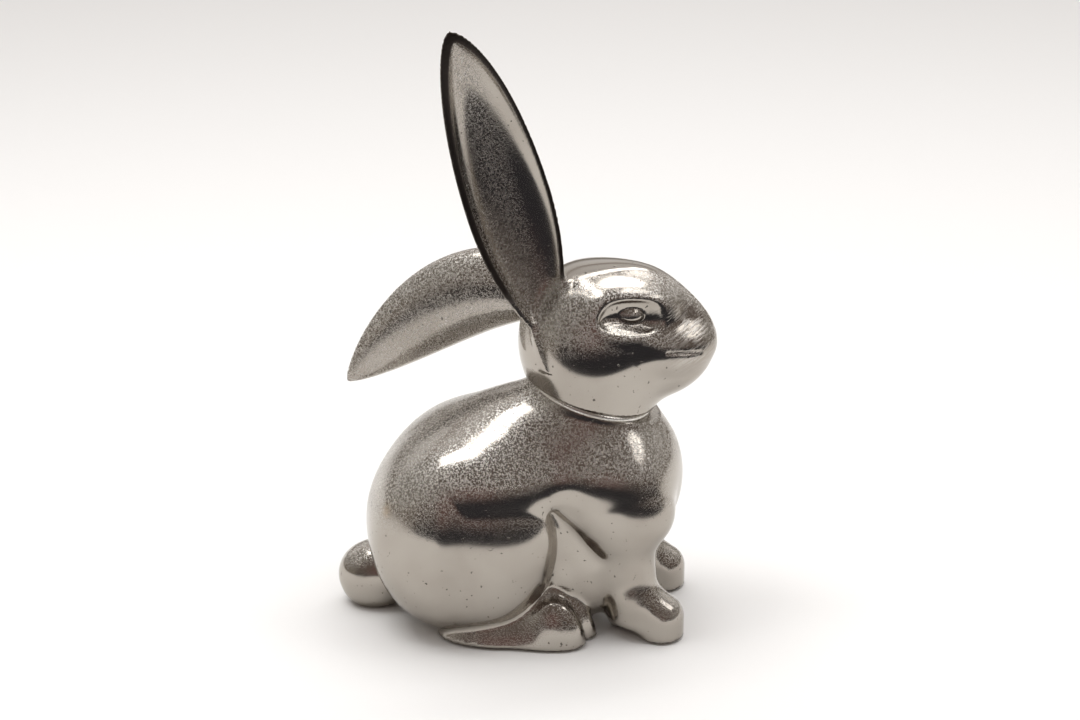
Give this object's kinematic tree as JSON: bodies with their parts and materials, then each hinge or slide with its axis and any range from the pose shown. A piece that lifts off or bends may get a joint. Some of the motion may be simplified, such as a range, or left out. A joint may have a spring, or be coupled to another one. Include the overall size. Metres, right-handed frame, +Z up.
{
  "type": "rabbit figurine",
  "caption": "Polished cast-metal figurine of a sitting rabbit, one ear upright and the other drooping back, for a shelf or table.",
  "frame": {"origin": "on the table, at the middle of the round felt under the belly; the rabbit's middle plane is X = 0", "axes": "+Z up; the rabbit faces -Y; its own left side, with the drooping ear, is +X"},
  "size_m": [0.088, 0.1521, 0.2428],
  "materials": {
    "cast_metal": "polished and nickel plated, fine casting grain",
    "ring_metal": "polished and nickel plated",
    "fastener_steel": "zinc plated",
    "plate_metal": "turned, unpolished",
    "felt": "black pressed felt"
  },
  "bodies": {
    "root": {"body_casting": "cast_metal", "head_casting": "cast_metal", "right_ear": "cast_metal", "left_ear": "cast_metal", "tail": "cast_metal", "neck_ring": "ring_metal", "neck_stud": "fastener_steel", "neck_washer": "fastener_steel", "neck_nut": "fastener_steel", "right_ear_pin": "fastener_steel", "left_ear_pin": "fastener_steel", "tail_screw": "fastener_steel", "belly_plate_screws": "fastener_steel", "belly_plate": "plate_metal", "belly_felt": "felt", "right_paw_felt": "felt", "left_paw_felt": "felt", "right_foot_felt": "felt", "left_foot_felt": "felt"}
  },
  "joints": []
}
